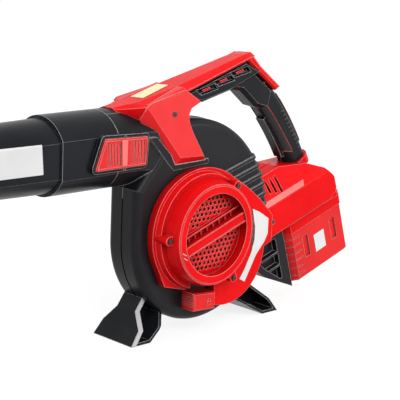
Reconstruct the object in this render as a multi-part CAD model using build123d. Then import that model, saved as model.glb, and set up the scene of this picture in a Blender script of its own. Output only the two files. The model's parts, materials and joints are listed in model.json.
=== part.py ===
from build123d import *
import os
from math import cos, hypot, radians, sin, sqrt

os.makedirs("parts", exist_ok=True)

# Frame: X runs to the rear, Y across with the air intake at -Y, Z up.
# Everything is drawn about the fan axis and moved to the floor frame on export.
FAN_X = 134.0           # fan axis behind the middle of the whole tool
FAN_Y = 11.0            # middle plane of tube and grip from the middle of the whole width
FAN_Z = 152.0           # fan axis above the floor

# Clearances
SEAT = 0.2              # between pieces that are screwed or clipped together
GAP = 0.4               # between pieces that move past each other
RUN = 0.05              # radial play of a shaft or pin in its bore

# Scroll housing: three arcs that grow from the tongue round to the outlet
SCROLL_FRONT = 112.0    # reach in front of the fan axis
SCROLL_DROP = 137.0     # reach below it
SCROLL_R1 = 127.0       # front and underside
SCROLL_R2 = 136.0       # underside to rear
SCROLL_R3 = 159.0       # rear to top
SCROLL_NEAR = -50.0     # side face with the intake
SCROLL_FAR = 10.0       # side face with the motor
SCROLL_EDGE = 10.5      # rounding between side face and rim
SCROLL_CORNER = 30.0    # rounding of the outline under the handle's legs
CROWN_RUN = 25.0        # flat run from the top of the scroll to the outlet
WALL = 3.0
SEAM = -20.0            # plane where the two halves meet

# Outlet duct, collar and tube: round sections with flat sides
DUCT_Z = 122.0
DUCT_R = 54.5
DUCT_FLAT = 48.0
DUCT_END = -146.0       # front rim of the housing
DUCT_BLEND = -100.0     # where the duct starts to blend into the scroll
DUCT_ROOT = 20.0
DUCT_ROOT_R = 44.0
DUCT_ROOT_Z = 108.0
COLLAR_END = -241.0     # front rim of the collar
TUBE_R = 50.5
TUBE_FLAT = 44.5
TUBE_WALL = 2.6
TUBE_ROOT = -152.0
TUBE_END = -640.0
MOUTH_R = 42.0
MOUTH_FLAT = 37.0
LIP = 2.0               # bead round the tube's mouth

# Grip ribs on the rear of the scroll
RIB_COUNT = 6
RIB_PITCH = 15.5
RIB_WIDTH = 5.0
RIB_HEIGHT = 2.6
RIB_TOP = 56.0          # height of the first rib along its own normal
RIB_TILT = 16.0
RIB_START = 25.0        # ribs begin this far behind the fan axis

# Air intake
INTAKE_HOLE_R = 58.0
COVER_RIM_R = 90.5
COVER_LAND = -70.0      # seat of the intake ring
COVER_LAND_R = 83.0
COVER_PLATE = 11.0      # height of the cover's plate over the housing
RING_BASE_R = 77.5
RING_LIP_R = 72.0
RING_TOP = -95.0
RING_SHELF = -88.0      # shelf that carries the turning grille
RING_SHELF_R = 64.0
LUG_R = 6.5
LUG_TOP = -84.0
LUG_SPOTS = ((52.0, 80.0), (180.0, 80.0), (304.0, 88.0))    # angle and radius
GRILLE_WALL = 3.0
GRILLE_FLOOR = -78.0
GRILLE_PLATE = 2.4
HEX_PITCH = 8.2
HEX_R = 3.1
BAR_WIDTH = 15.5
BAR_TILT = 18.7
BAR_TOOTH_COUNT = 8

# Fan and motor
FAN_R = 90.0
FAN_BACK = 3.0          # rear face of the fan's back plate
FAN_FRONT = -42.0
HUB_L = 34.0
BLADE_COUNT = 11
BLADE_T = 2.6
SHAFT_R = 4.0
MOTOR_R = 30.0
MOTOR_END = 64.0
MOTOR_COVER_R = 62.0
MOTOR_COVER_END = 73.0
VENT_COUNT = 12

# Handle: a crowned red cap over a black core, and a curved grip
CORE_HALF = 23.0
NECK_HALF = 17.5
GRIP_DEPTH = 40.0
GRIP_WIDTH = 32.0
GRIP_ROUND = 13.0
GRIP_TOP = (160.0, 186.0)
GRIP_MID = (217.0, 122.0)
GRIP_FOOT = (258.0, 56.0)
PAD_T = 1.6             # how far the soft pads stand out
PADDLE_W = 16.0
PADDLE_T = 7.0
PADDLE_OUT = 4.0        # how far the trigger paddle stands out of the grip
PADDLE_FROM = 0.3       # share of the grip's length
PADDLE_TO = 0.8
PADDLE_SINK = 6.0       # room behind the paddle
WINDOW_DEPTH = 8.0
SOCKET_FROM = 0.92      # share of the grip's length where its socket begins
PIN_R = 2.0

# Tube latch
LATCH_X = -140.0        # rocker pin
LATCH_LEFT = -188.0
LATCH_RIGHT = -101.0
LATCH_LOW = 105.0
LATCH_HIGH = 147.0
LATCH_T = 4.5
LATCH_FACE = -57.0
FRAME_W = 4.0
LATCH_GROOVES = 5

# Rear housing and battery bay, in a frame tilted up to the rear
BAY_X = 230.0
BAY_Z = -20.0
BAY_TILT = 18.0
HOUSING_HALF = 43.0
HOUSING_EAVE = 46.0     # height of the upright sides over the bay
HOUSING_RIDGE = 20.0    # half width of the top
HOUSING_SLOTS = 3
DOCK_U = -26.0          # rear face of the battery dock
DOCK_DEPTH = 108.0
DOCK_HALF = 30.0
PACK_L = 140.0
PACK_W = 68.0
PACK_H = 104.0
PACK_LID = 20.0
LID_LIP = 1.0           # overhang of the lid round the case
PACK_CHAMFER = 13.0
RAIL_STEM = 10.0        # half width of the rail's stem
RAIL_HEAD = 16.0
RAIL_OUT = 10.0
RAIL_STEP = 5.0
DOCK_POCKET = 10.0
DOCK_RIBS = (-40.0, -62.0)
PACK_GROOVES = 6
BUTTON_TRAVEL = 3.0

# Feet
FLOOR = -FAN_Z
FOOT_WALL = 4.0
FOOT_TOP_HALF = 19.0
FOOT_LOW_HALF = 41.0
FOOT_Y = -15.0          # middle of the feet

SCREW_HEAD_R = 3.4
SCREW_R = 1.7
SCREW_HEAD_T = 2.4
SCREW_L = 11.0


# Drawing helpers
def face_xz(points):
    return make_face(Polyline(*points, close=True))


def plate(face, y_far, y_near, taper=0.0):
    """A face drawn in X and Z, thick from y_far to y_near."""
    plane = Plane((0, y_far, 0), x_dir=(1, 0, 0), z_dir=(0, -1, 0))
    return extrude(plane * face, y_far - y_near, taper=taper)


def prism(points, y_far, y_near):
    return plate(face_xz(points), y_far, y_near)


def broken_prism(points, y_far, y_near, edge):
    """A prism whose long edges on both sides are broken."""
    body = prism(points, y_far, y_near)
    sides = [e for e in body.edges() if min(abs(e.center().Y - y_far), abs(e.center().Y - y_near)) < 0.01]
    return chamfer(sides, edge)


def turned(points):
    """A profile of (radius, y) points turned about the fan axis."""
    return revolve(make_face(Polyline(*points, close=True)), Axis.Y)


def disc(radius, y_far, y_near, x=0.0, z=0.0):
    return plate(Pos(x, z) * Circle(radius), y_far, y_near)


def block(x0, x1, y0, y1, z0, z1):
    middle = ((x0 + x1) / 2, (y0 + y1) / 2, (z0 + z1) / 2)
    return Pos(*middle) * Box(x1 - x0, y1 - y0, z1 - z0)


def section_at(x, face):
    """A face drawn in Y and Z, set at a place along X."""
    return Plane((x, 0, 0), x_dir=(0, 1, 0), z_dir=(1, 0, 0)) * face


def flat_round(radius, flat, y=0.0, z=None):
    """A circle with two flat sides, centred on the duct axis or at (y, z)."""
    height = DUCT_Z if z is None else z
    return Pos(y, height) * (Circle(radius) & Rectangle(2 * flat, 4 * radius))


FAR = 900.0
near_half = block(-FAR, FAR, -FAR, SEAM, -FAR, FAR)
far_half = block(-FAR, FAR, SEAM, FAR, -FAR, FAR)
right_half = block(-FAR, FAR, -FAR, 0, -FAR, FAR)
left_half = block(-FAR, FAR, 0, FAR, -FAR, FAR)
bay = Location((BAY_X, 0, BAY_Z), (0, -BAY_TILT, 0))


def bay_point(u, w):
    """A point of the tilted battery bay as (x, z)."""
    tilt = radians(BAY_TILT)
    return (BAY_X + u * cos(tilt) - w * sin(tilt), BAY_Z + u * sin(tilt) + w * cos(tilt))


nodes = {}


def keep(name, *shapes):
    nodes[name] = shapes


# Scroll housing
def scroll_outline():
    x1 = SCROLL_R1 - SCROLL_FRONT
    z1 = SCROLL_R1 - SCROLL_DROP
    z2 = z1 + SCROLL_R2 - SCROLL_R1
    x3 = x1 - SCROLL_R3 + SCROLL_R2
    under = CenterArc((x1, z1), SCROLL_R1, 180, 90)
    rear = CenterArc((x1, z2), SCROLL_R2, 270, 90)
    top = CenterArc((x3, z2), SCROLL_R3, 0, 90)
    crown = (x3 - CROWN_RUN, z2 + SCROLL_R3)
    tongue = (-SCROLL_FRONT, DUCT_Z - DUCT_R)
    rest = Polyline(top @ 1, crown, tongue, under @ 0)
    outline = make_face(under + rear + top + rest)
    return fillet(outline.vertices().sort_by_distance((crown[0], crown[1], 0))[:1], SCROLL_CORNER)


def scroll_body(inset):
    """The scroll's space, smaller all round by the inset."""
    outline = scroll_outline()
    if inset:
        outline = offset(outline, amount=-inset)
    near = SCROLL_NEAR + inset
    far = SCROLL_FAR - inset
    body = plate(outline, far, near)
    rims = [e for e in body.edges() if min(abs(e.center().Y - near), abs(e.center().Y - far)) < 0.01]
    return fillet(rims, SCROLL_EDGE - inset)


def duct_body(radius, flat, x0, x1):
    return extrude(section_at(x0, flat_round(radius, flat)), x1 - x0)


def outlet_body(inset, front):
    """Straight duct that blends back into the scroll."""
    middle = (SCROLL_NEAR + SCROLL_FAR) / 2
    half = (SCROLL_FAR - SCROLL_NEAR) / 2 - 1
    rim = section_at(DUCT_BLEND, flat_round(DUCT_R - inset, DUCT_FLAT - inset))
    root = section_at(DUCT_ROOT, flat_round(DUCT_ROOT_R - inset, half - inset, middle, DUCT_ROOT_Z))
    return duct_body(DUCT_R - inset, DUCT_FLAT - inset, front, DUCT_BLEND) + loft([rim, root], ruled=True)


scroll_outer = scroll_body(0)
housing_outer = scroll_outer + outlet_body(0, DUCT_END)
housing_shell = housing_outer - scroll_body(WALL) - outlet_body(WALL, DUCT_END - 1)

rib_body = scroll_body(-RIB_HEIGHT)
slabs = []
for i in range(RIB_COUNT):
    height = RIB_TOP - i * RIB_PITCH
    slab = Pos(150 + RIB_START, 0, 0) * Box(300, 2 * FAR, RIB_WIDTH)
    slabs.append(Rot(0, -RIB_TILT, 0) * Pos(0, 0, height) * slab)
ribs = (rib_body & Compound(children=slabs)) - scroll_outer
ribs = ribs & block(-FAR, FAR, -FAR, SCROLL_FAR, -FAR, FAR)
intake_hole = disc(INTAKE_HOLE_R, SCROLL_NEAR + WALL + 1, SCROLL_NEAR - 1)
shaft_hole = disc(SHAFT_R + 8, SCROLL_FAR + 1, SCROLL_FAR - WALL - 1)
housing_ribbed = housing_shell + ribs
housing_envelope = housing_outer + ribs
volute_right = (housing_ribbed & near_half) - intake_hole
volute_left = (housing_ribbed & far_half) - shaft_hole

keep("volute_right", volute_right)
keep("volute_left", volute_left)

# Collar and tube
collar_bore = duct_body(TUBE_R + SEAT, TUBE_FLAT + SEAT, COLLAR_END - 1, DUCT_END)
collar = duct_body(DUCT_R, DUCT_FLAT, COLLAR_END, DUCT_END - SEAT) - collar_bore
keep("tube_collar", collar)


def tapered(inset, grow, x0, x1):
    root = section_at(x0, flat_round(TUBE_R - inset, TUBE_FLAT - inset))
    mouth = section_at(x1, flat_round(MOUTH_R - inset + grow, MOUTH_FLAT - inset + grow))
    return loft([root, mouth], ruled=True)


straight = duct_body(TUBE_R, TUBE_FLAT, COLLAR_END, TUBE_ROOT)
straight_bore = duct_body(TUBE_R - TUBE_WALL, TUBE_FLAT - TUBE_WALL, COLLAR_END, TUBE_ROOT + 1)
bead = duct_body(MOUTH_R + LIP, MOUTH_FLAT + LIP, TUBE_END, TUBE_END + 3 * LIP)
tube = straight + tapered(0, 0, COLLAR_END, TUBE_END) + bead
tube = tube - straight_bore - tapered(TUBE_WALL, 0, COLLAR_END, TUBE_END)
keep("blower_tube", tube)

# Side cover: a dished plate with an arm to the rear
def cover_face():
    turn = radians(210)
    rim_end = (COVER_RIM_R * cos(turn), COVER_RIM_R * sin(turn))
    rim = RadiusArc((-COVER_RIM_R, 0), rim_end, -COVER_RIM_R)
    low = Polyline(rim_end, (-65, -73), (-24, -84), (-24, -70), (33, -70), (33, -116))
    lobe = ThreePointArc((33, -116), (104, -104), (134, -44))
    arm = Polyline((134, -44), (150, -38), (150, 2), (128, 24))
    shoulder = ThreePointArc((128, 24), (98, 48), (66, 68))
    crown = ThreePointArc((66, 68), (8, COVER_RIM_R - 1), (-64, 64))
    side = ThreePointArc((-64, 64), (-84, 33.6), (-COVER_RIM_R, 0))
    return make_face(rim + low + lobe + arm + shoulder + crown + side)


plate_top = SCROLL_NEAR - COVER_PLATE
cover = plate(cover_face(), SCROLL_NEAR, plate_top)
cone = turned([(0, plate_top + 4), (COVER_RIM_R - 5, plate_top + 4), (COVER_RIM_R - 5, plate_top),
               (COVER_LAND_R, COVER_LAND), (0, COVER_LAND)])
cover = cover + (cone - block(-24, 33, -FAR, FAR, -FAR, -70))
cover = cover - disc(RING_SHELF_R, 0, COVER_LAND - 1) - ribs
keep("side_cover", cover)

# Intake ring, held on the cover by three screws
ring = turned([(RING_SHELF_R, COVER_LAND), (RING_BASE_R, COVER_LAND), (RING_BASE_R - 2, -84),
               (RING_LIP_R + 1, RING_TOP + 2), (RING_LIP_R, RING_TOP), (RING_LIP_R - 2, RING_TOP),
               (RING_LIP_R - 2, RING_SHELF), (RING_SHELF_R, RING_SHELF)])
lug_places = []
for angle, radius in LUG_SPOTS:
    turn = radians(angle)
    lug_places.append((radius * cos(turn), radius * sin(turn)))
    web = Rot(0, -angle, 0) * block(RING_LIP_R, radius, LUG_TOP, plate_top, -LUG_R, LUG_R)
    lug = disc(LUG_R, plate_top, LUG_TOP, *lug_places[-1])
    ring = ring + (web + lug - disc(RING_LIP_R, 0, -FAR) - cover)
for x, z in lug_places:
    ring = ring - disc(SCREW_R + RUN, 0, -FAR, x, z)
keep("intake_ring", ring)

# Turning grille: rim, cup, two honeycomb half-moons and a grip bar
grille_r = RING_LIP_R - 2 - GAP
cup_r = RING_SHELF_R - GAP
cup_in = cup_r - GRILLE_WALL
rim = turned([(cup_in - 1.5, RING_TOP - 0.6), (grille_r, RING_TOP - 0.6), (grille_r, RING_SHELF - GAP),
              (cup_r, RING_SHELF - GAP), (cup_r, GRILLE_FLOOR), (cup_in, GRILLE_FLOOR),
              (cup_in, RING_TOP + 5)])
floor = disc(cup_in, GRILLE_FLOOR, GRILLE_FLOOR - GRILLE_PLATE)
bar_zone = BAR_WIDTH / 2 + 9
holes = []
columns = int(2 * cup_in / HEX_PITCH) + 2
row_pitch = HEX_PITCH * sqrt(3) / 2
hex_face = RegularPolygon(HEX_R, 6, rotation=30)
bar_turn = radians(BAR_TILT)
for row in range(-columns, columns + 1):
    for column in range(-columns, columns + 1):
        x = (column + 0.5 * (row % 2)) * HEX_PITCH
        z = row * row_pitch
        across = z * cos(bar_turn) - x * sin(bar_turn)
        low_side = across < -BAR_WIDTH / 2 - HEX_R - 1
        high_side = across > bar_zone + HEX_R
        if hypot(x, z) < cup_in - HEX_R - 1 and (low_side or high_side):
            holes.append(Pos(x, z) * hex_face)
floor = floor - plate(Sketch(children=holes), GRILLE_FLOOR + 1, GRILLE_FLOOR - GRILLE_PLATE - 1)


def bar_block(z0, z1, y0, y1, x0=-FAR, x1=FAR):
    return Rot(0, -BAR_TILT, 0) * block(x0, x1, y0, y1, z0, z1)


cup_space = disc(cup_in + 0.5, GRILLE_FLOOR + 1, RING_TOP + 1)
bar = bar_block(-BAR_WIDTH / 2, BAR_WIDTH / 2, RING_TOP + 2, GRILLE_FLOOR)
for side in (-1, 1):
    edge = side * (BAR_WIDTH / 2 - 1)
    bar = bar + bar_block(edge - 1, edge + 1, RING_TOP + 0.5, GRILLE_FLOOR)
bar = bar + bar_block(bar_zone - 2, bar_zone, GRILLE_FLOOR - 8, GRILLE_FLOOR)
tooth_pitch = 2 * cup_in / (BAR_TOOTH_COUNT + 2)
for i in range(BAR_TOOTH_COUNT):
    x = (i - (BAR_TOOTH_COUNT - 1) / 2) * tooth_pitch
    bar = bar + bar_block(BAR_WIDTH / 2 - 1, bar_zone, GRILLE_FLOOR - 6, GRILLE_FLOOR, x - 1, x + 1)
grille = rim + floor + (bar & cup_space)
keep("intake_grille", grille)

# Lock tab of the intake cover: slides to the rear against a spring
TAB_TRAVEL = 8.0
tab = prism([(-22, -87), (22, -91), (22, -116), (-20, -114)], SCROLL_NEAR - GAP, -76)
tab_rear = [e for e in tab.edges() if abs(e.center().Y + 76) < 0.01]
tab = chamfer(tab_rear, 2.0)
for i in range(6):
    z = -92 - i * 3.8
    tab = tab - block(-24, -20.2, -FAR, FAR, z - 0.9, z + 0.9)
tab = tab - disc(RING_BASE_R + 9, 0, -FAR)
keep("lock_tab", tab)

# Fan, shaft and nut
hub_r = 17.0
hub_front = FAN_BACK - HUB_L
hub = turned([(SHAFT_R, FAN_BACK), (FAN_R, FAN_BACK), (FAN_R, FAN_BACK - 3), (36, FAN_BACK - 6),
              (hub_r, hub_front + 6), (hub_r - 3, hub_front), (SHAFT_R, hub_front)])
blade_path = ThreePointArc((34, 0), (62, 12), (FAN_R - 1, 8))
blade_face = make_face(offset(blade_path, BLADE_T / 2, side=Side.BOTH))
shroud = [(54, FAN_FRONT), (FAN_R, FAN_FRONT + 6), (FAN_R, FAN_FRONT + 8.5), (54, FAN_FRONT + 2.5)]
fan = hub + turned(shroud)
for i in range(BLADE_COUNT):
    turn = 360 / BLADE_COUNT * i
    fan = fan + plate(Rot(0, 0, turn) * blade_face, FAN_BACK - 1, FAN_FRONT + 7)
keep("impeller", fan)
keep("motor_shaft", disc(SHAFT_R, MOTOR_END - 6, hub_front - 9))
nut = plate(RegularPolygon(7.5, 6), hub_front, hub_front - 6) - disc(SHAFT_R, FAR, -FAR)
keep("fan_nut", nut)

# Motor on the far side, under a vented cover
flange_t = 4.0
can = disc(MOTOR_R, MOTOR_END, SCROLL_FAR) + disc(MOTOR_R + 12, SCROLL_FAR + flange_t, SCROLL_FAR)
can = can - disc(SHAFT_R + RUN, MOTOR_END - 5, 0)
keep("motor_can", can)
cover_in = MOTOR_COVER_R - WALL
cover_out = MOTOR_COVER_R
brim = MOTOR_COVER_R + 8
top = MOTOR_COVER_END
dome = turned([(0, top), (cover_out - 14, top), (cover_out - 4, top - 8), (cover_out, SCROLL_FAR + 6),
               (brim, SCROLL_FAR + 5), (brim, SCROLL_FAR), (cover_in, SCROLL_FAR), (cover_in - 4, top - 10),
               (cover_in - 12, top - WALL), (0, top - WALL)])
slot = SlotOverall(22, 4.2)
slots = []
for i in range(VENT_COUNT):
    slots.append(Rot(0, 0, 360 / VENT_COUNT * i) * Pos(30, 0) * slot)
dome = dome - plate(Sketch(children=slots), MOTOR_COVER_END + 1, MOTOR_COVER_END - WALL - 1)
keep("motor_cover", dome - housing_outer)

# Handle cap: sections along X, each with its points (y, z) from the near lip over the top to the far lip.
# It is wider on the intake side, where its leg has to clear the scroll.
CAP_SECTIONS = [
    (-127, [(-17, 172), (-15, 176.5), (-10, 178), (8, 178), (16, 175), (13, 170)]),
    (-112, [(-27, 167), (-31, 178.5), (-19, 182.5), (6, 182), (20, 174), (17, 166)]),
    (-98, [(-39, 158), (-47.5, 181.5), (-29, 186), (8, 186), (23, 179.5), (20, 172)]),
    (-31, [(-43, 191.5), (-46, 195.5), (-29, 201.5), (8, 201.5), (22, 196), (19, 192)]),
    (118, [(-24, 229), (-27, 233), (-17, 238), (10, 236.5), (20, 232), (17, 228)]),
    (134, [(-21, 232), (-24, 236), (-15, 240.5), (10, 239), (19, 235), (16, 231)]),
]
cap_faces = []
for x, points in CAP_SECTIONS:
    cap_faces.append(section_at(x, make_face(Polyline(*points, close=True))))
cap = loft(cap_faces, ruled=True)
tail_side = [(118, 234), (132, 238.5), (152, 219), (196, 186), (186, 181), (146, 211), (126, 226)]
tail = broken_prism(tail_side, 19, -23, 3.0)
cap = cap + tail - housing_envelope

# Legs that straddle the housing: the right one reaches down beside the intake
LEG_FACES = {
    -1: [(-90, 186), (-97, 182), (-40, 108), (5, 106), (-14, 141), (-19, 154), (-20, 165), (-14, 174),
         (4, 181.5), (-24, 200)],
    1: [(-90, 186), (-94, 182), (-76, 148), (-36, 148), (-20, 160), (-17, 172), (4, 182), (-24, 199)],
}
LEG_FEET = {
    -1: [(-95, 183), (-103, 164), (-52, 78), (28, 86), (-6, 143), (-11, 155), (-12, 165), (-7, 173),
         (10, 182), (-24, 203)],
    1: [(-95, 184), (-100, 178), (-82, 142), (-30, 142), (-12, 158), (-10, 172), (10, 182), (-24, 203)],
}
LEG_LOW_Y = {-1: 59.0, 1: 40.0}
LEG_HIGH_Y = {-1: 47.0, 1: 24.0}
LEG_ROOT_Y = {-1: 40.0, 1: 15.0}
LEDGE_SIDE = [(-94, 140), (-53, 96), (-46, 89.5), (20, 93), (20, 100), (-40, 100), (-80, 140)]
LEDGE_OUT = 1.5         # how far the black lip round the right leg stands out of the scroll


def leg_y(side, z):
    return LEG_LOW_Y[side] + (LEG_HIGH_Y[side] - LEG_LOW_Y[side]) * (z - 95) / 95


def leg(side):
    face = LEG_FACES[side]
    foot = LEG_FEET[side]
    root_y = side * LEG_ROOT_Y[side]
    outer = make_face(Polyline(*[(x, side * leg_y(side, z), z) for x, z in face], close=True))
    root = make_face(Polyline(*[(x, root_y, z) for x, z in foot], close=True))
    flare = loft([root, outer], ruled=True)
    return flare + prism(foot, max(0, root_y), min(0, root_y))


ledge = prism(LEDGE_SIDE, SCROLL_NEAR + 6, SCROLL_NEAR - LEDGE_OUT)
ledge = ledge - disc(COVER_RIM_R + 1, 0, -FAR) - leg(-1)
nodes["volute_right"] = (volute_right + ledge,)

# Black core of the handle and the curved grip
grip_path = ThreePointArc((GRIP_TOP[0], 0, GRIP_TOP[1]), (GRIP_MID[0], 0, GRIP_MID[1]),
                          (GRIP_FOOT[0], 0, GRIP_FOOT[1]))


def swept(face, start=0.0, end=1.0):
    """A face swept along the grip: its X is across, its Y points to the rear."""
    path = grip_path if (start, end) == (0.0, 1.0) else grip_path.trim(start, end)
    plane = Plane(path @ 0, x_dir=(0, 1, 0), z_dir=path % 0)
    return sweep(plane * face, path=path)


def grip_section(grow):
    return RectangleRounded(GRIP_WIDTH + 2 * grow, GRIP_DEPTH + 2 * grow, GRIP_ROUND + grow)


grip = swept(grip_section(0))
core_side = [(-12, 186), (118, 228), (140, 217), (155, 212), (93, 189), (34, 175), (4, 181)]
neck_side = [(90, 188), (118, 226), (146, 211), (186, 182), (178, 150), (150, 158), (118, 184)]
core_block = broken_prism(core_side, CORE_HALF, -CORE_HALF, 3.0) - cap
core_block = core_block + (broken_prism(neck_side, NECK_HALF, -NECK_HALF, 6.0) - cap)
core = core_block + grip - cap
window_places = ((41, 192.5), (75, 203), (108, 213.5))
bars = []
for x, z in window_places:
    window = [(x - 23, z + 0.5), (x + 13, z + 7.5), (x + 21, z - 0.5), (x - 12, z - 7)]
    bar = [(x - 9, z - 0.5), (x + 6, z + 3.5), (x + 9, z + 1), (x - 5, z - 3)]
    for side in (-1, 1):
        y_out = side * (CORE_HALF + 1)
        y_in = side * (CORE_HALF - WINDOW_DEPTH)
        core = core - prism(window, max(y_out, y_in), min(y_out, y_in))
        y_bar = side * (CORE_HALF - 3)
        bars.append(prism(bar, max(y_bar, y_in), min(y_bar, y_in)))
keep("window_bars", *bars)

# Trigger paddle in the front of the grip, hinged at its lower end
paddle_y = -(GRIP_DEPTH / 2 + PADDLE_OUT - PADDLE_T / 2)
paddle = swept(Pos(0, paddle_y) * Rectangle(PADDLE_W, PADDLE_T), PADDLE_FROM, PADDLE_TO)
slot_h = PADDLE_T + PADDLE_SINK
slot_y = -(GRIP_DEPTH / 2 + PADDLE_OUT - slot_h / 2)
slot_face = Pos(0, slot_y) * Rectangle(PADDLE_W + 2 * GAP, slot_h)
core = core - swept(slot_face, PADDLE_FROM - 0.01, PADDLE_TO + 0.01)
pivot = grip_path @ (PADDLE_TO - 0.05)
inward = (grip_path % (PADDLE_TO - 0.05)).cross(Vector(0, 1, 0)).normalized()
pivot = pivot + inward * (paddle_y + 2)


def across(radius, length):
    """A pin across the grip at the paddle's pivot."""
    return Pos(pivot.X, 0, pivot.Z) * Rot(90, 0, 0) * Cylinder(radius, length)


keep("trigger_paddle", paddle - across(PIN_R + RUN, 2 * GRIP_WIDTH))
pin_length = PADDLE_W + 4
core = core - across(PIN_R, pin_length)
keep("trigger_pin", across(PIN_R, pin_length))
pad_skin = swept(grip_section(PAD_T)) - swept(grip_section(SEAT))
side_panel = [(134, 166), (176, 158), (238, 80), (200, 84), (166, 124)]
for name, half in (("grip_pad_right", right_half), ("grip_pad_left", left_half)):
    pad = (pad_skin & prism(side_panel, FAR, -FAR)) & half
    keep(name, pad - block(-FAR, FAR, -PADDLE_W / 2 - 3, PADDLE_W / 2 + 3, -FAR, FAR) - core_block)
back_panel = [(196, 172), (230, 186), (306, 100), (256, 96)]
back_pad = (pad_skin & prism(back_panel, FAR, -FAR)) & block(-FAR, FAR, -12, 12, -FAR, FAR)
keep("grip_back_pad", back_pad)
keep("handle_core_right", core & right_half)
keep("handle_core_left", core & left_half)
keep("handle_cap", cap)
keep("handle_leg_right", leg(-1) - housing_envelope - cap - core)
keep("handle_leg_left", leg(1) - housing_envelope - cap - core)

# Rear housing between scroll, grip and battery bay
front_low = bay_point(-84, 0)
rear_low = bay_point(78, 0)
housing_side = [front_low, rear_low, (316, 18), (308, 40), (287, 55), (254, 64), (199, 63), (160, 50),
                (136, 42)]
rear_face = face_xz(housing_side)
rear_face = fillet(rear_face.vertices().sort_by(Axis.X)[3:], 9)
roof = [(-HOUSING_HALF, -10), (-HOUSING_HALF, HOUSING_EAVE), (-HOUSING_RIDGE, 94), (HOUSING_RIDGE, 94),
        (HOUSING_HALF, HOUSING_EAVE), (HOUSING_HALF, -10)]
roof_body = bay * extrude(section_at(-FAR, make_face(Polyline(*roof, close=True))), 2 * FAR)
rear = plate(rear_face, HOUSING_HALF, -HOUSING_HALF) & roof_body
socket = swept(grip_section(5), SOCKET_FROM, 1.0)
rear = rear + socket - core - housing_envelope
for i in range(HOUSING_SLOTS):
    x = 166 + 11 * i
    rear = rear - (Pos(x, -HOUSING_HALF, 46) * Rot(0, -BAY_TILT, 0) * Box(4.5, 34, 40))
keep("rear_housing_right", rear & right_half)
keep("rear_housing_left", rear & left_half)

# Battery dock: a ribbed wedge with an undercut slot for the pack's rail
dock_side = [bay_point(DOCK_U, -SEAT), bay_point(DOCK_U, -DOCK_DEPTH), (173, -106), (150, -90), (140, -46),
             bay_point(-84, -SEAT)]
dock = prism(dock_side, DOCK_HALF, -DOCK_HALF) - housing_envelope
dock_inner = [bay_point(DOCK_U - 18, -14), bay_point(DOCK_U - 18, -88), (178, -96), (164, -86), (162, -54)]
pocket = fillet(face_xz(dock_inner).vertices(), 3)
for side in (-1, 1):
    y_out = side * (DOCK_HALF + 1)
    y_in = side * (DOCK_HALF - DOCK_POCKET)
    hollow = plate(pocket, max(y_out, y_in), min(y_out, y_in))
    for depth in DOCK_RIBS:
        hollow = hollow - bay * block(-FAR, FAR, -FAR, FAR, depth, depth + 3)
    dock = dock - hollow
slot_end = -DOCK_DEPTH - 20
rail_top = -PACK_LID - 6
slot_top = rail_top + GAP
slot_u = DOCK_U - RAIL_OUT - GAP
head_u = slot_u + RAIL_STEP + 3 * GAP
stem = block(slot_u, DOCK_U + 1, -RAIL_STEM - GAP, RAIL_STEM + GAP, slot_end, slot_top)
head = block(slot_u, head_u, -RAIL_HEAD - GAP, RAIL_HEAD + GAP, slot_end, slot_top)
dock = dock - bay * stem - bay * head
keep("battery_dock", dock)

# Battery pack, drawn in the tilted bay frame with its lid up
pack_front = DOCK_U + GAP + LID_LIP
pack_top = -SEAT - 1.2
pack_low = pack_top - PACK_H
lid_low = pack_top - PACK_LID


def pack_plan(grow, cut):
    """Outline of the pack from above with cut corners."""
    x0 = pack_front - grow
    x1 = pack_front + PACK_L + grow
    y1 = PACK_W / 2 + grow
    return make_face(Polyline((x0, -y1 + cut), (x0 + cut, -y1), (x1 - cut, -y1), (x1, -y1 + cut),
                              (x1, y1 - cut), (x1 - cut, y1), (x0 + cut, y1), (x0, y1 - cut), close=True))


case = extrude(Pos(0, 0, pack_low) * pack_plan(0, PACK_CHAMFER), lid_low - pack_low)
case_low = [e for e in case.edges() if abs(e.center().Z - pack_low) < 0.01]
case = chamfer(case_low, 4.0)
skin_plan = pack_plan(1, PACK_CHAMFER) - pack_plan(-1.4, PACK_CHAMFER - 1)
skin = extrude(Pos(0, 0, pack_low) * skin_plan, PACK_H)
for i in range(PACK_GROOVES):
    level = lid_low - 10 - i * (PACK_H - PACK_LID - 22) / (PACK_GROOVES - 1)
    groove = block(pack_front + PACK_CHAMFER / 3, pack_front + 30, -FAR, FAR, level - 0.8, level + 0.8)
    case = case - (skin & groove)
for u in (pack_front + 40, pack_front + 104):
    for side in (-1, 1):
        y_out = side * (PACK_W / 2 + 1)
        y_in = side * (PACK_W / 2 - 2.5)
        case = case - block(u - 6, u + 6, min(y_out, y_in), max(y_out, y_in), lid_low - 52, lid_low - 16)
lid = extrude(Pos(0, 0, lid_low) * pack_plan(LID_LIP, PACK_CHAMFER), PACK_LID)
lid_high = [e for e in lid.edges() if abs(e.center().Z - pack_top) < 0.01]
lid = chamfer(lid_high, 5.0)
inlay_half = [(8, 0), (8, 8), (16, 16), (40, 16), (50, 8), (90, 8), (100, 16), (124, 16), (132, 8), (132, 0)]
inlay_plan = [(pack_front + u, v) for u, v in inlay_half]
inlay_plan = inlay_plan + [(u, -v) for u, v in inlay_plan[-2:0:-1]]
inlay_face = make_face(Polyline(*inlay_plan, close=True))
inlay = extrude(Pos(0, 0, pack_top - 2) * inlay_face, 2)
lid = lid - inlay
rail_u = DOCK_U + GAP - RAIL_OUT
rail = block(rail_u, pack_front, -RAIL_STEM, RAIL_STEM, pack_low + 6, rail_top)
rail = rail + block(rail_u, rail_u + RAIL_STEP, -RAIL_HEAD, RAIL_HEAD, pack_low + 6, rail_top)
rear_u = pack_front + PACK_L
button_room = block(rear_u - BUTTON_TRAVEL - 8, rear_u + 2, -13, 13, lid_low - 26, lid_low - 10)
button = block(rear_u - 8, rear_u + 1.5, -13 + GAP, 13 - GAP, lid_low - 26 + GAP, lid_low - 10 - GAP)
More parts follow.
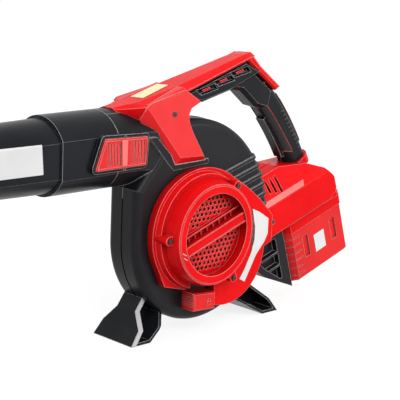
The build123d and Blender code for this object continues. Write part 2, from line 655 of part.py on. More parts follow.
case = case - button_room
keep("battery_case", bay * case)
keep("battery_lid", bay * lid)
keep("battery_inlay", bay * inlay)
keep("battery_rail", bay * rail)
keep("battery_button", bay * button)

# Feet: hollow flared brackets under the scroll
def foot(points):
    outer = face_xz(points)
    walls = plate(outer - offset(outer, amount=-FOOT_WALL), FAR / 9, -FAR / 9)
    low = FOOT_LOW_HALF
    top = FOOT_TOP_HALF
    flare = [(-low, FLOOR), (low, FLOOR), (low - 3, FLOOR + 20), (top, FLOOR + 42), (top, 0), (-top, 0),
             (-top, FLOOR + 42), (-low + 3, FLOOR + 20)]
    shape = section_at(-FAR, Pos(FOOT_Y, 0) * make_face(Polyline(*flare, close=True)))
    return (walls & extrude(shape, 2 * FAR)) - housing_envelope


front_foot = foot([(-66, -70), (-95, -110), (-104, -132), (-119, FLOOR), (-84, FLOOR), (-65, -137),
                   (-40, -105)])
rear_foot = foot([(60, -105), (144, FLOOR), (177, FLOOR), (160, -130), (98, -74)])
keep("front_foot", front_foot)
keep("rear_foot", rear_foot)

# Tube latch: a rocker on an upright pin in a raised frame
flat_y = -DUCT_FLAT
pin_y = LATCH_FACE + LATCH_T - 1
rocker_side = [(LATCH_LEFT - 5, LATCH_LOW), (LATCH_LEFT + 11, LATCH_HIGH), (LATCH_RIGHT, LATCH_HIGH - 3),
               (LATCH_RIGHT - 3, LATCH_LOW)]
rocker_face = fillet(face_xz(rocker_side).vertices(), 3)
window_face = offset(rocker_face, amount=GAP)
frame_face = offset(rocker_face, amount=GAP + FRAME_W)
frame_top = LATCH_FACE + 2.5
frame = plate(frame_face - window_face, flat_y, frame_top)


def upright(radius, low, high):
    return Pos(LATCH_X, pin_y, (low + high) / 2) * Cylinder(radius, high - low)


pin_low = LATCH_LOW - GAP - FRAME_W + 1
pin_high = LATCH_HIGH + GAP + FRAME_W - 3
rocker = plate(rocker_face, LATCH_FACE + LATCH_T, LATCH_FACE)
rocker = rocker + upright(3.2, LATCH_LOW + 1, LATCH_HIGH - 3)
for i in range(LATCH_GROOVES):
    for side in (-1, 1):
        x = LATCH_X + side * (10 + i * 5.5)
        groove = block(x - 1, x + 1, LATCH_FACE - 1, LATCH_FACE + 1.2, LATCH_LOW + 5, LATCH_HIGH - 7)
        rocker = rocker - groove
frame = frame - housing_outer - collar
keep("latch_frame", frame - upright(PIN_R, pin_low, pin_high))
keep("tube_latch", rocker - upright(PIN_R + RUN, 0, FAR))
keep("latch_pin", upright(PIN_R, pin_low, pin_high))


# Screws with a crossed head, along Y
def screw(x, y, z, side, grow=0.0):
    """A screw whose head stands out from y, on the right (-1) or left (1)."""
    head_y = (y + side * SCREW_HEAD_T, y)
    shank_y = (y, y - side * SCREW_L)
    head = disc(SCREW_HEAD_R, max(head_y), min(head_y), x, z)
    shank = disc(SCREW_R + grow, max(shank_y), min(shank_y), x, z)
    if grow:
        return shank
    top = y + side * SCREW_HEAD_T
    cross = Rectangle(3.6, 1.0) + Rectangle(1.0, 3.6)
    bite = (top + side * 0.5, top - side * 1.2)
    return head + shank - plate(Pos(x, z) * cross, max(bite), min(bite))


lug_screws = [screw(x, LUG_TOP, z, -1) for x, z in lug_places]
keep("intake_screws", *lug_screws)
for x, z in lug_places:
    nodes["side_cover"] = (nodes["side_cover"][0] - screw(x, LUG_TOP, z, -1, RUN),)


def seat_pair(name, x, z, right, left, right_y, left_y):
    """A screw in a cup on each side of the tool."""
    pair = []
    for side, node, depth in ((-1, right, right_y), (1, left, left_y)):
        y = side * depth
        pair.append(screw(x, y, z, side))
        cup = disc(SCREW_HEAD_R + SEAT, max(y, side * FAR), min(y, side * FAR), x, z)
        nodes[node] = (nodes[node][0] - cup - screw(x, y, z, side, RUN),)
    keep(name, *pair)


leg_screw = (-47, 168)
leg_depth = [leg_y(side, leg_screw[1]) - 1 for side in (-1, 1)]
seat_pair("handle_screws", *leg_screw, "handle_leg_right", "handle_leg_left", *leg_depth)
rear_depth = HOUSING_HALF - 2.5
seat_pair("housing_screws", 172, -16, "rear_housing_right", "rear_housing_left", rear_depth, rear_depth)

place = Location((FAN_X, FAN_Y, FAN_Z))
for name, shapes in nodes.items():
    solids = [s for shape in shapes for s in shape.solids()]
    whole = solids[0] if len(solids) == 1 else Compound(children=solids)
    export_step(place * whole, f"parts/{name}.step")
    print(name, len(solids), round(sum(s.volume for s in solids) / 1000, 1))
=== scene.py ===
import json
import math

import bmesh
import bpy
from mathutils import Matrix, Vector
from mathutils.bvhtree import BVHTree


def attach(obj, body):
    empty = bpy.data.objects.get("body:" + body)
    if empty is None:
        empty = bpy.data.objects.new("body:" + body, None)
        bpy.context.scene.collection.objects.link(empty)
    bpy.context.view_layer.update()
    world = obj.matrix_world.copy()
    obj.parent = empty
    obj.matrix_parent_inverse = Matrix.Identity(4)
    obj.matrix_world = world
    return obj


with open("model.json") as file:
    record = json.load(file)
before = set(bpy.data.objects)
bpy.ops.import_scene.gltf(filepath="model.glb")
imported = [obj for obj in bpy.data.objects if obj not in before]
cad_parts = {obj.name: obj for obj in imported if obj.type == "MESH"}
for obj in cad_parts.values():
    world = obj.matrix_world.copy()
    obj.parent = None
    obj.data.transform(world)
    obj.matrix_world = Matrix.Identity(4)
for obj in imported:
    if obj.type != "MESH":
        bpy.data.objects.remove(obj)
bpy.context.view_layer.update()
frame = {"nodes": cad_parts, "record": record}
nodes = frame["nodes"]
scene = bpy.context.scene

# Places are in millimetres from the fan axis, as in the part's source; radii and thicknesses are in metres.
FAN = Vector((0.134, 0.011, 0.152))     # where the fan axis lies in the floor frame
BAY_TILT = math.radians(18.0)           # the battery bay rises to the rear by this much
BAY_X = 230.0
BAY_Z = -20.0


def at(x, y, z):
    """A point given in millimetres from the fan axis, in the floor frame."""
    return FAN + Vector((x, y, z)) / 1000


def in_bay(u, y, w):
    """A point of the tilted battery bay: along it, across it and above its floor."""
    x = BAY_X + u * math.cos(BAY_TILT) - w * math.sin(BAY_TILT)
    z = BAY_Z + u * math.sin(BAY_TILT) + w * math.cos(BAY_TILT)
    return at(x, y, z)


# Materials
SHADE_DETAIL = 3.0
SHADE_FROM, SHADE_TO = 0.3, 0.7         # the middle of the noise, where most of it lies
GLOSS_SCALE = 45.0
GLOSS_SPREAD = 0.05                     # how far the roughness wanders
FINE_DETAIL = 2.0
GRAIN_DEPTH = 0.0004
ROUNDING = 0.0012                       # radius of every moulded edge
ROUNDING_SAMPLES = 6
EDGE_FROM, EDGE_TO = 0.99, 0.84         # cosine of the normal's turn where the painted edge highlight starts and where it is full
CREASE_REACH = 0.025                    # how near a wall has to be for the painted shade in a corner
CREASE_SAMPLES = 8
CREASE_FROM, CREASE_TO = 0.25, 0.95     # open share of a full crease and of a free face


def link(tree, source, target):
    tree.links.new(source, target)


def noise(tree, coords, scale, detail):
    """Even noise in the object's own space, from 0 to 1."""
    texture = tree.nodes.new("ShaderNodeTexNoise")
    texture.inputs["Scale"].default_value = scale
    texture.inputs["Detail"].default_value = detail
    link(tree, coords.outputs["Object"], texture.inputs["Vector"])
    return texture.outputs["Fac"]


def spread_over(tree, value, low, high, start=0.0, end=1.0):
    """A value of a range stretched to another range."""
    span = tree.nodes.new("ShaderNodeMapRange")
    span.inputs["From Min"].default_value = start
    span.inputs["From Max"].default_value = end
    span.inputs["To Min"].default_value = low
    span.inputs["To Max"].default_value = high
    link(tree, value, span.inputs["Value"])
    return span.outputs["Result"]


def mixed(tree, share, first, second):
    """A colour between two colours, each a constant or the output of a node."""
    mix = tree.nodes.new("ShaderNodeMix")
    mix.data_type = "RGBA"
    link(tree, share, mix.inputs["Factor"])
    for color, name in ((first, "A"), (second, "B")):
        socket = next(s for s in mix.inputs if s.name == name and s.type == "RGBA")
        if isinstance(color, tuple):
            socket.default_value = (*color, 1)
        else:
            link(tree, color, socket)
    return next(s for s in mix.outputs if s.type == "RGBA")


def edge_highlight_share(tree, bevel):
    """1 on an edge and 0 on a face, where the painted edge highlight goes: how far the rounded normal turns from the
    flat one.
    """
    geometry = tree.nodes.new("ShaderNodeNewGeometry")
    turn = tree.nodes.new("ShaderNodeVectorMath")
    turn.operation = "DOT_PRODUCT"
    link(tree, bevel.outputs["Normal"], turn.inputs[0])
    link(tree, geometry.outputs["Normal"], turn.inputs[1])
    return spread_over(tree, turn.outputs["Value"], 0.0, 1.0, EDGE_FROM, EDGE_TO)


def open_share(tree):
    """0 deep in a corner and 1 on a free face, for the painted shade in corners."""
    shelter = tree.nodes.new("ShaderNodeAmbientOcclusion")
    shelter.samples = CREASE_SAMPLES
    shelter.inputs["Distance"].default_value = CREASE_REACH
    return spread_over(tree, shelter.outputs["AO"], 0.0, 1.0, CREASE_FROM, CREASE_TO)


def surface(name, low, high, rough, specular=0.5, metal=0.0, grain=0.0, grain_scale=900.0, patch=14.0, edge=None,
            crease_shade=None):
    """A moulded surface: two near shades, uneven gloss, a fine grain, rounded edges with a painted highlight on them
    and painted shade in its corners.
    """
    material = bpy.data.materials.new(name)
    material.use_nodes = True
    tree = material.node_tree
    shader = tree.nodes["Principled BSDF"]
    shader.inputs["Metallic"].default_value = metal
    shader.inputs["Specular IOR Level"].default_value = specular
    coords = tree.nodes.new("ShaderNodeTexCoord")
    shade = spread_over(tree, noise(tree, coords, patch, SHADE_DETAIL), 0.0, 1.0, SHADE_FROM, SHADE_TO)
    color = mixed(tree, shade, low, high)
    bevel = tree.nodes.new("ShaderNodeBevel")
    bevel.samples = ROUNDING_SAMPLES
    bevel.inputs["Radius"].default_value = ROUNDING
    # Painted highlight: a paler colour along the rounded edges
    if edge:
        color = mixed(tree, edge_highlight_share(tree, bevel), color, edge)
    # Painted shade: a darker colour deep in corners, where walls are near
    if crease_shade:
        color = mixed(tree, open_share(tree), crease_shade, color)
    link(tree, color, shader.inputs["Base Color"])
    gloss = noise(tree, coords, GLOSS_SCALE, FINE_DETAIL)
    link(tree, spread_over(tree, gloss, rough - GLOSS_SPREAD, rough + GLOSS_SPREAD), shader.inputs["Roughness"])
    bump = tree.nodes.new("ShaderNodeBump")
    bump.inputs["Strength"].default_value = grain
    bump.inputs["Distance"].default_value = GRAIN_DEPTH
    link(tree, noise(tree, coords, grain_scale, FINE_DETAIL), bump.inputs["Height"])
    link(tree, bevel.outputs["Normal"], bump.inputs["Normal"])
    link(tree, bump.outputs["Normal"], shader.inputs["Normal"])
    return material


# Painted light: paler edge colours stand for highlights on rounded edges, a darker colour for shade in corners
RED_EDGE_HIGHLIGHT = (0.98, 0.54, 0.51)
RED_CREASE_SHADE = (0.26, 0.0, 0.001)
BLACK_EDGE_HIGHLIGHT = (0.62, 0.62, 0.63)
SHELL_GRAIN = 1300.0        # scale of the grain on the shells
RUBBER_GRAIN = 1800.0
METAL_PATCH = 300.0         # scale of the shades on the metal pieces
RED = surface("red_gloss", (0.80, 0.005, 0.007), (0.90, 0.009, 0.011), rough=0.26, specular=0.05, grain=0.03,
              edge=RED_EDGE_HIGHLIGHT, crease_shade=RED_CREASE_SHADE)
RED_SATIN = surface("red_satin", (0.74, 0.008, 0.010), (0.83, 0.013, 0.014), rough=0.46, specular=0.28, grain=0.22,
                    grain_scale=SHELL_GRAIN, edge=RED_EDGE_HIGHLIGHT, crease_shade=RED_CREASE_SHADE)
# A lighter red painted where a facet catches a highlight
HIGHLIGHT_RED = surface("red_painted_highlight", (0.82, 0.13, 0.12), (0.92, 0.20, 0.18), rough=0.40, grain=0.05)
BLACK = surface("black_grained", (0.006, 0.006, 0.008), (0.011, 0.011, 0.013), rough=0.36, specular=0.16, grain=0.14,
                grain_scale=SHELL_GRAIN, edge=BLACK_EDGE_HIGHLIGHT)
DARK = surface("black_smooth", (0.006, 0.007, 0.009), (0.011, 0.012, 0.015), rough=0.30, specular=0.12, grain=0.05,
               grain_scale=SHELL_GRAIN, edge=BLACK_EDGE_HIGHLIGHT)
RUBBER = surface("soft_rubber", (0.009, 0.009, 0.010), (0.015, 0.015, 0.016), rough=0.62, specular=0.35, grain=0.5,
                 grain_scale=RUBBER_GRAIN)
STEEL = surface("screw_steel", (0.05, 0.05, 0.055), (0.10, 0.10, 0.105), rough=0.35, metal=0.9, patch=METAL_PATCH)
BRIGHT = surface("bright_steel", (0.50, 0.50, 0.51), (0.62, 0.62, 0.63), rough=0.28, metal=1.0, patch=METAL_PATCH)
FAN_BLACK = surface("fan_plastic", (0.020, 0.020, 0.021), (0.030, 0.030, 0.031), rough=0.5, grain=0.1)
CAN = surface("motor_can", (0.16, 0.16, 0.17), (0.22, 0.22, 0.23), rough=0.4, metal=0.6)
WHITE = surface("white_label", (0.76, 0.76, 0.75), (0.84, 0.84, 0.83), rough=0.4)
GREY = surface("grey_plate", (0.66, 0.66, 0.66), (0.74, 0.74, 0.74), rough=0.42)
YELLOW = surface("yellow_label", (0.88, 0.78, 0.42), (0.94, 0.85, 0.50), rough=0.4)
# Pale grey painted on the foot's flange as a highlight
FLANGE_HIGHLIGHT = surface("flange_painted_highlight", (0.40, 0.40, 0.41), (0.56, 0.56, 0.57), rough=0.34, grain=0.1)
LINE = surface("red_line", (0.50, 0.035, 0.025), (0.60, 0.05, 0.035), rough=0.4)
INK = surface("pale_ink", (0.80, 0.70, 0.68), (0.88, 0.78, 0.76), rough=0.45)
SEAM = surface("seam_shadow", (0.003, 0.003, 0.003), (0.005, 0.005, 0.005), rough=0.8, specular=0.0)
RED_SEAM = surface("red_seam_shadow", (0.22, 0.003, 0.003), (0.28, 0.004, 0.004), rough=0.7, specular=0.0)
RIB = surface("rib_rubber", (0.060, 0.060, 0.064), (0.085, 0.085, 0.090), rough=0.5, grain=0.1)

SLOT_MATERIALS = {"red_shell": RED, "black_shell": BLACK, "grip_rubber": RUBBER, "steel": STEEL,
                  "fan_plastic": FAN_BLACK, "motor_steel": CAN}
OWN_MATERIALS = {"motor_shaft": BRIGHT, "fan_nut": BRIGHT, "tube_collar": DARK, "blower_tube": DARK,
                 "latch_frame": DARK, "front_foot": DARK, "rear_foot": DARK, "handle_core_right": DARK,
                 "handle_core_left": DARK, "battery_inlay": DARK, "handle_leg_right": RED_SATIN,
                 "handle_leg_left": RED_SATIN, "tube_latch": RED_SATIN, "lock_tab": RED_SATIN,
                 "battery_case": RED_SATIN}
for part in frame["record"]["subparts"]:
    node = nodes[part["node"]]
    node.data.materials.clear()
    node.data.materials.append(OWN_MATERIALS.get(part["node"], SLOT_MATERIALS[part["material_slot"]]))


# Makers of the extra pieces
PLATE_T = 0.0004        # how far a plate stands off its seat
PLATE_STEP = 0.003      # longest edge of the mesh of a laid piece
PLATE_ROUNDS = 8        # most times that an edge is halved
RAY_BACK = 0.3          # how far before its point a ray starts, well outside the nodes that it meets
WIRE_SIDES = 8
SHARP = 0.6             # least turn, in radians, of an edge that is softened


def new_piece(name, shape, material, body):
    """An object made from a bmesh, which rides on a body."""
    mesh = bpy.data.meshes.new(name)
    shape.to_mesh(mesh)
    shape.free()
    mesh.materials.append(material)
    piece = bpy.data.objects.new(name, mesh)
    scene.collection.objects.link(piece)
    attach(piece, body)


def surface_tree(names):
    """The rest surfaces of some CAD nodes, to lay thin pieces on."""
    verts = []
    faces = []
    for name in names:
        mesh = nodes[name].data
        start = len(verts)
        verts += [v.co.copy() for v in mesh.vertices]
        faces += [[start + i for i in p.vertices] for p in mesh.polygons]
    return BVHTree.FromPolygons(verts, faces)


def laid(tree, point, direction, lift=0.0):
    """The point moved along a direction on to the surface and a little off it, or None past its end."""
    hit, normal, _, _ = tree.ray_cast(point - direction * RAY_BACK, direction)
    if hit is None:
        return None
    if normal.dot(direction) > 0:
        normal = -normal
    return hit + normal * lift


def label(name, names, outline, direction, material, body):
    """A thin blank plate in an outline, laid on the CAD nodes along a direction."""
    tree = surface_tree(names)
    shape = bmesh.new()
    shape.faces.new([shape.verts.new(p) for p in outline])
    bmesh.ops.triangulate(shape, faces=shape.faces[:])
    for _ in range(PLATE_ROUNDS):
        long_edges = [e for e in shape.edges if e.calc_length() > PLATE_STEP]
        bmesh.ops.subdivide_edges(shape, edges=long_edges, cuts=1)
        bmesh.ops.triangulate(shape, faces=shape.faces[:])
    lost = []
    for vert in shape.verts:
        spot = laid(tree, vert.co, direction, PLATE_T)
        if spot is None:
            lost.append(vert)
        else:
            vert.co = spot
    bmesh.ops.delete(shape, geom=lost, context="VERTS")
    bmesh.ops.recalc_face_normals(shape, faces=shape.faces[:])
    shape.normal_update()
    if sum((f.normal for f in shape.faces), Vector()).dot(direction) > 0:
        bmesh.ops.reverse_faces(shape, faces=shape.faces[:])
    new_piece(name, shape, material, body)


def wire(name, points, radius, material, body):
    """A round line through some points."""
    shape = bmesh.new()
    rings = []
    for i, point in enumerate(points):
        ahead = points[min(i + 1, len(points) - 1)] - points[max(i - 1, 0)]
        turn = ahead.to_track_quat("Z", "Y")
        ring = []
        for k in range(WIRE_SIDES):
            angle = 2 * math.pi * k / WIRE_SIDES
            outward = Vector((math.cos(angle), math.sin(angle), 0))
            ring.append(shape.verts.new(point + turn @ outward * radius))
        rings.append(ring)
    for a, b in zip(rings, rings[1:]):
        for k in range(WIRE_SIDES):
            after = (k + 1) % WIRE_SIDES
            shape.faces.new((a[k], a[after], b[after], b[k]))
    shape.faces.new(list(reversed(rings[0])))
    shape.faces.new(rings[-1])
    new_piece(name, shape, material, body)


def line_on(name, names, points, direction, radius, material, body):
    """A thin round line laid on the CAD nodes."""
    tree = surface_tree(names)
    spots = []
    for a, b in zip(points, points[1:]):
        count = max(1, int((b - a).length / PLATE_STEP))
        for i in range(count):
            spots.append(laid(tree, a.lerp(b, i / count), direction))
    spots.append(laid(tree, points[-1], direction))
    wire(name, [s for s in spots if s is not None], radius, material, body)


def slab(name, outline, thick, edge, material, body):
    """A thin solid in an outline of (outer, inner) point pairs, with softened edges; thick is a vector."""
    shape = bmesh.new()
    front = [[shape.verts.new(p) for p in pair] for pair in outline]
    back = [[shape.verts.new(p + thick) for p in pair] for pair in outline]
    for i in range(len(outline) - 1):
        shape.faces.new((front[i][0], front[i][1], front[i + 1][1], front[i + 1][0]))
        shape.faces.new((back[i][0], back[i + 1][0], back[i + 1][1], back[i][1]))
        shape.faces.new((front[i][0], front[i + 1][0], back[i + 1][0], back[i][0]))
        shape.faces.new((front[i][1], back[i][1], back[i + 1][1], front[i + 1][1]))
    for end in (0, -1):
        shape.faces.new((front[end][0], front[end][1], back[end][1], back[end][0]))
    bmesh.ops.recalc_face_normals(shape, faces=shape.faces[:])
    sharp = [e for e in shape.edges if len(e.link_faces) == 2 and e.calc_face_angle() > SHARP]
    bmesh.ops.bevel(shape, geom=sharp, offset=edge, segments=2, affect="EDGES")
    new_piece(name, shape, material, body)


def web(name, outline, y_far, y_near):
    """A flat wall across a foot."""
    shape = bmesh.new()
    far = [shape.verts.new(at(x, y_far, z)) for x, z in outline]
    near = [shape.verts.new(at(x, y_near, z)) for x, z in outline]
    shape.faces.new(far)
    shape.faces.new(list(reversed(near)))
    for i in range(len(outline)):
        k = (i + 1) % len(outline)
        shape.faces.new((far[k], far[i], near[i], near[k]))
    bmesh.ops.recalc_face_normals(shape, faces=shape.faces[:])
    new_piece(name, shape, DARK, "housing")


INTO = Vector((0, 1, 0))
OUT_OF = Vector((0, -1, 0))
DOWN = Vector((0, 0, -1))
DOWN_BAY = Vector((math.sin(BAY_TILT), 0, -math.cos(BAY_TILT)))
NEAR_Y = -95.0          # in front of everything on the intake side
FAR_Y = 95.0            # behind everything on the motor side
HIGH_Z = 260.0          # above everything
SIDES = (("right", NEAR_Y, INTO), ("left", FAR_Y, OUT_OF))

# Blank plates where the photograph has printed labels
TUBE_PLATE = [(-430, 109), (-430, 148), (-272, 147), (-269, 108)]
label("tube_plate", ["blower_tube"], [at(x, NEAR_Y, z) for x, z in TUBE_PLATE], INTO, GREY, "housing")
COVER_BAND = [(106, 17), (122, 10), (141, -2), (141, -25), (134, -37), (118, -54), (104, -78), (96, -92), (85, -86),
              (94, -74), (107, -50), (113, -31), (113, -11)]
label("cover_band", ["side_cover"], [at(x, NEAR_Y, z) for x, z in COVER_BAND], INTO, WHITE, "housing")
CAP_PLATE = [(-86, -0.5), (-82, -22.5), (-27, -13), (-30, 7)]
label("cap_plate", ["handle_cap"], [at(x, y, HIGH_Z) for x, y in CAP_PLATE], DOWN, YELLOW, "housing")

# Painted highlight along the eave of the rear housing: a band of lighter red laid on it
EAVE_HIGHLIGHT = [(-72, 47.5), (24, 47.5), (28, 55.5), (-74, 55.5)]
label("housing_eave_highlight", ["rear_housing_right"], [in_bay(u, NEAR_Y, w) for u, w in EAVE_HIGHLIGHT], INTO, HIGHLIGHT_RED, "housing")

# Pack: blank plate on its side and a strip on its lid
PACK_PLATE = [(34, -46), (58, -46), (58, -76), (34, -76)]
label("pack_plate", ["battery_case"], [in_bay(u, NEAR_Y, w) for u, w in PACK_PLATE], INTO, WHITE, "battery")
PACK_STRIP = [(-4, -5), (90, -5), (90, 5), (-4, 5)]
label("pack_strip", ["battery_inlay"], [in_bay(u, y, HIGH_Z) for u, y in PACK_STRIP], DOWN_BAY, GREY, "battery")

# Red outlines of the soft grip panels
LINE_R = 0.0005
PANEL_LINE = [(139, 163), (175, 156.5), (205, 124), (236, 82), (206, 84.5)]
for side, side_y, direction in SIDES:
    line_on("panel_line_" + side, ["grip_pad_" + side], [at(x, side_y, z) for x, z in PANEL_LINE], direction, LINE_R,
            LINE, "housing")
BACK_LINE = [(209, 168), (236, 135), (263, 100)]
BACK_LINE_Y = 11.0
GRIP_IN = Vector((-0.8, 0, -0.6))       # from behind, square to the grip
for side, line_y in (("right", -BACK_LINE_Y), ("left", BACK_LINE_Y)):
    line_on("back_line_" + side, ["grip_back_pad"], [at(x, line_y, z) for x, z in BACK_LINE], GRIP_IN, LINE_R, LINE,
            "housing")

# Raised ribs on the corner of the grip between its soft panels
RIB_COUNT = 10
RIB_R = 0.0007
RIB_FIRST = ((205.5, 146), (214.5, 149))
RIB_LAST = ((248, 87), (255, 90))
for side, side_y, direction in SIDES:
    for i in range(RIB_COUNT):
        share = i / (RIB_COUNT - 1)
        ends = [at(first[0], side_y, first[1]).lerp(at(last[0], side_y, last[1]), share)
                for first, last in zip(RIB_FIRST, RIB_LAST)]
        line_on(f"grip_rib_{side}_{i + 1}", ["handle_core_" + side], ends, direction, RIB_R, RIB, "housing")

# Parting lines of the scroll housing and of the rear housing
SEAM_Y = -20.0
SEAM_R = 0.0007
SEAM_REACH = 170.0      # outside the scroll all round
SEAM_POINTS = 240
SEAM_START = 155.0      # degrees counted from the rear over the top: just under the tube
SEAM_TURN = 290.0
scroll_tree = surface_tree(["volute_right", "volute_left"])
seam = []
for i in range(SEAM_POINTS + 1):
    angle = math.radians(SEAM_START + SEAM_TURN * i / SEAM_POINTS)
    outward = Vector((math.cos(angle), 0, math.sin(angle)))
    spot = laid(scroll_tree, at(0, SEAM_Y, 0) + outward * SEAM_REACH / 1000, -outward)
    if spot is not None:
        seam.append(spot)
wire("scroll_seam", seam, SEAM_R, SEAM, "housing")
HOUSING_SEAM = [(160, 0), (205, 0)]
line_on("housing_seam", ["rear_housing_right", "rear_housing_left"], [at(x, y, HIGH_Z) for x, y in HOUSING_SEAM],
        DOWN, LINE_R, RED_SEAM, "housing")

# Latch: a raised rim and a ridge over its pin, the ridge in a lighter red as a painted highlight
LATCH_FACE = -57.0
LATCH_RIM_R = 0.0012
LATCH_RIM = [(-189, 107.5), (-175.5, 144), (-104.5, 141), (-107, 107.5), (-189, 107.5)]
wire("latch_rim", [at(x, LATCH_FACE, z) for x, z in LATCH_RIM], LATCH_RIM_R, RED_SATIN, "latch")
RIDGE_Y = LATCH_FACE - 1.6
RIDGE_T = 0.0018
RIDGE_EDGE = 0.0006
RIDGE = [((-149.5, 144), (-138, 143.5)), ((-147.5, 107.5), (-138.5, 107.5))]
ridge_pairs = [(at(a[0], RIDGE_Y, a[1]), at(b[0], RIDGE_Y, b[1])) for a, b in RIDGE]
slab("latch_ridge", ridge_pairs, INTO * RIDGE_T, RIDGE_EDGE, HIGHLIGHT_RED, "latch")

# Flange on the near edge of the front foot, painted pale as a highlight: place, width and how steeply it falls across
FLANGE_T = 0.0016
FLANGE_EDGE = 0.0004
FLANGE_FALL = 0.12
FLANGE = [((-79, -34.6, -88), 8, FLANGE_FALL), ((-95, -34.6, -110), 9, FLANGE_FALL),
          ((-104, -53.6, -132), 8.5, FLANGE_FALL), ((-119, -56.6, -151.4), 9, 0)]
flange_pairs = [(at(x, y, z), at(x + width, y, z - fall * width)) for (x, y, z), width, fall in FLANGE]
slab("foot_flange", flange_pairs, INTO * FLANGE_T, FLANGE_EDGE, FLANGE_HIGHLIGHT, "housing")

# Webs that close the hollow feet inside
WEB_FAR_Y = -13.5
WEB_NEAR_Y = -16.5
FRONT_WEB = [(-81.6, -94), (-93.5, -110.5), (-102.3, -132.5), (-115.5, -150.8), (-85, -150.8), (-66.3, -138),
             (-52.8, -118.6), (-58.4, -114.9), (-67.3, -108.1), (-75.5, -100.5)]
REAR_WEB = [(88.6, -116.5), (143.5, -150.8), (175, -150.8), (158.8, -131.5), (116, -93.6), (103.1, -105.9)]
web("front_foot_web", FRONT_WEB, WEB_FAR_Y, WEB_NEAR_Y)
web("rear_foot_web", REAR_WEB, WEB_FAR_Y, WEB_NEAR_Y)

# Pale position marks on the grille's rim
MARK_Y = -100.0         # in front of the grille
MARK_R = 0.0006
MARKS = [((-65.5, -17), (-58, -21)), ((-63, -24), (-56, -28))]
for i, mark in enumerate(MARKS):
    line_on(f"grille_mark_{i + 1}", ["intake_grille"], [at(x, MARK_Y, z) for x, z in mark], INTO, MARK_R, INK, "grille")

# Padlock sign on the lock tab: a body and a bow
TAB_FACE = -76.0
SIGN_X, SIGN_Z = 8.0, -105.0
SIGN_Y = TAB_FACE - 0.8
SIGN_HALF = 4.5
SIGN_TOP = 3.0
SIGN_BOTTOM = -3.5
SIGN_T = 0.001
SIGN_EDGE = 0.0003
sign_pairs = [(at(SIGN_X - SIGN_HALF, SIGN_Y, SIGN_Z + dz), at(SIGN_X + SIGN_HALF, SIGN_Y, SIGN_Z + dz))
              for dz in (SIGN_TOP, SIGN_BOTTOM)]
slab("lock_sign", sign_pairs, INTO * SIGN_T, SIGN_EDGE, RED_SATIN, "tab")
BOW_Y = TAB_FACE - 0.2
BOW_HALF = 2.8
BOW_RISE = 3.4
BOW_R = 0.0007
BOW_STEPS = 8
bow = []
for i in range(BOW_STEPS + 1):
    angle = math.pi * i / BOW_STEPS
    bow.append(at(SIGN_X + BOW_HALF * math.cos(angle), BOW_Y, SIGN_Z + SIGN_TOP + BOW_RISE * math.sin(angle)))
wire("lock_sign_bow", bow, BOW_R, RED_SATIN, "tab")


# Studio: a pale floor in an evenly lit room, both seen as white
FLOOR_HALF = 9.0
FLOOR_DROP = 0.0005     # keeps the floor clear of the soles
FLOOR_GLOW = 0.80       # brings the seen floor up to white and leaves the shadow on it
ROOM_LIGHT = 0.66
ROOM_SEEN = 1.0


def seen_share(tree):
    """1 for the rays that show a thing, straight, mirrored or through glass, and 0 for those that only light."""
    path = tree.nodes.new("ShaderNodeLightPath")
    seen = path.outputs["Is Camera Ray"]
    for name in ("Is Glossy Ray", "Is Transmission Ray"):
        either = tree.nodes.new("ShaderNodeMath")
        either.operation = "MAXIMUM"
        link(tree, seen, either.inputs[0])
        link(tree, path.outputs[name], either.inputs[1])
        seen = either.outputs["Value"]
    return seen


def floor_paint():
    """A matt pale paint that glows where it is seen."""
    paint = surface("floor_paint", (0.29, 0.29, 0.29), (0.31, 0.31, 0.31), rough=0.8, specular=0.0)
    tree = paint.node_tree
    glow = tree.nodes.new("ShaderNodeEmission")
    link(tree, spread_over(tree, seen_share(tree), 0.0, FLOOR_GLOW), glow.inputs["Strength"])
    both = tree.nodes.new("ShaderNodeAddShader")
    link(tree, tree.nodes["Principled BSDF"].outputs["BSDF"], both.inputs[0])
    link(tree, glow.outputs["Emission"], both.inputs[1])
    link(tree, both.outputs["Shader"], tree.nodes["Material Output"].inputs["Surface"])
    return paint


floor_mesh = bpy.data.meshes.new("floor")
floor_corners = [(FLOOR_HALF * i, FLOOR_HALF * k, 0) for i, k in ((-1, -1), (1, -1), (1, 1), (-1, 1))]
floor_mesh.from_pydata(floor_corners, [], [(0, 1, 2, 3)])
floor = bpy.data.objects.new("floor", floor_mesh)
scene.collection.objects.link(floor)
floor.location.z = -FLOOR_DROP
floor_mesh.materials.append(floor_paint())

world = bpy.data.worlds.new("studio")
scene.world = world
world.use_nodes = True
room = world.node_tree.nodes["Background"]
room.inputs["Color"].default_value = (1, 1, 1, 1)
link(world.node_tree, spread_over(world.node_tree, seen_share(world.node_tree), ROOM_LIGHT, ROOM_SEEN),
     room.inputs["Strength"])

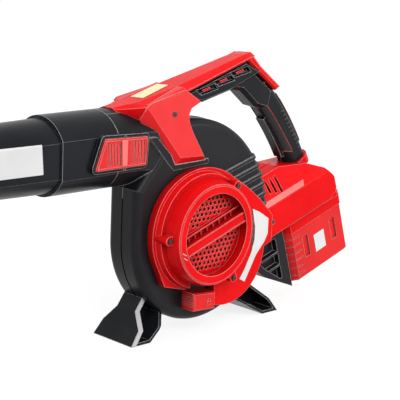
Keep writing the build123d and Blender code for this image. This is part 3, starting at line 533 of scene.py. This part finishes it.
# Lamps: name, place, power and width, all turned to the middle of the tool
LIT_POINT = Vector((0.1, 0, 0.2))
LAMPS = [("key", (-0.9, -2.3, 1.7), 46, 1.8),
         ("fill", (1.5, -2.1, 0.7), 17, 0.9),
         ("back", (0.5, 1.7, 2.0), 9, 1.4)]
for name, place, power, width in LAMPS:
    lamp_data = bpy.data.lights.new(name, "AREA")
    lamp_data.energy = power
    lamp_data.shape = "SQUARE"
    lamp_data.size = width
    lamp = bpy.data.objects.new(name, lamp_data)
    scene.collection.objects.link(lamp)
    lamp.location = place
    lamp.rotation_euler = (LIT_POINT - Vector(place)).to_track_quat("-Z", "Y").to_euler()

# Camera where the photograph was taken from, set by the place of the intake's lip in it
PICTURE = 400.0                         # width and height of the photograph, in pixels
LIP = Vector((0, -95, 0))               # middle of the lip, from the fan axis
LIP_PIXEL = (217.0, 235.0)
MM_PER_PIXEL = 1.4                      # at the lip
CAMERA_FAR = 2000.0                     # from the camera to the lip, along the view
VIEW_SIDE = math.radians(44.0)          # how far the view turns from square on to the intake
VIEW_DOWN = math.radians(15.0)
TOOL_PITCH = math.radians(3.25)         # how far the tool's front is tipped up in the picture
SENSOR = 36.0
focal = CAMERA_FAR / MM_PER_PIXEL       # in pixels
pitch = Matrix.Rotation(-TOOL_PITCH, 3, "Y")
right = pitch @ Vector((math.cos(VIEW_SIDE), -math.sin(VIEW_SIDE), 0))
up = pitch @ Vector((math.sin(VIEW_SIDE) * math.sin(VIEW_DOWN), math.cos(VIEW_SIDE) * math.sin(VIEW_DOWN),
                     math.cos(VIEW_DOWN)))
back = right.cross(up)
lip_right = (LIP_PIXEL[0] - PICTURE / 2) / focal
lip_up = (PICTURE / 2 - LIP_PIXEL[1]) / focal
camera_place = LIP + CAMERA_FAR * (back - lip_right * right - lip_up * up)
camera_data = bpy.data.cameras.new("camera")
camera_data.sensor_width = SENSOR
camera_data.lens = SENSOR * focal / PICTURE
camera_data.clip_end = 100.0
camera = bpy.data.objects.new("camera", camera_data)
scene.collection.objects.link(camera)
camera.matrix_world = Matrix.Translation(at(*camera_place)) @ Matrix((right, up, back)).transposed().to_4x4()
scene.camera = camera
scene.view_settings.view_transform = "Standard"
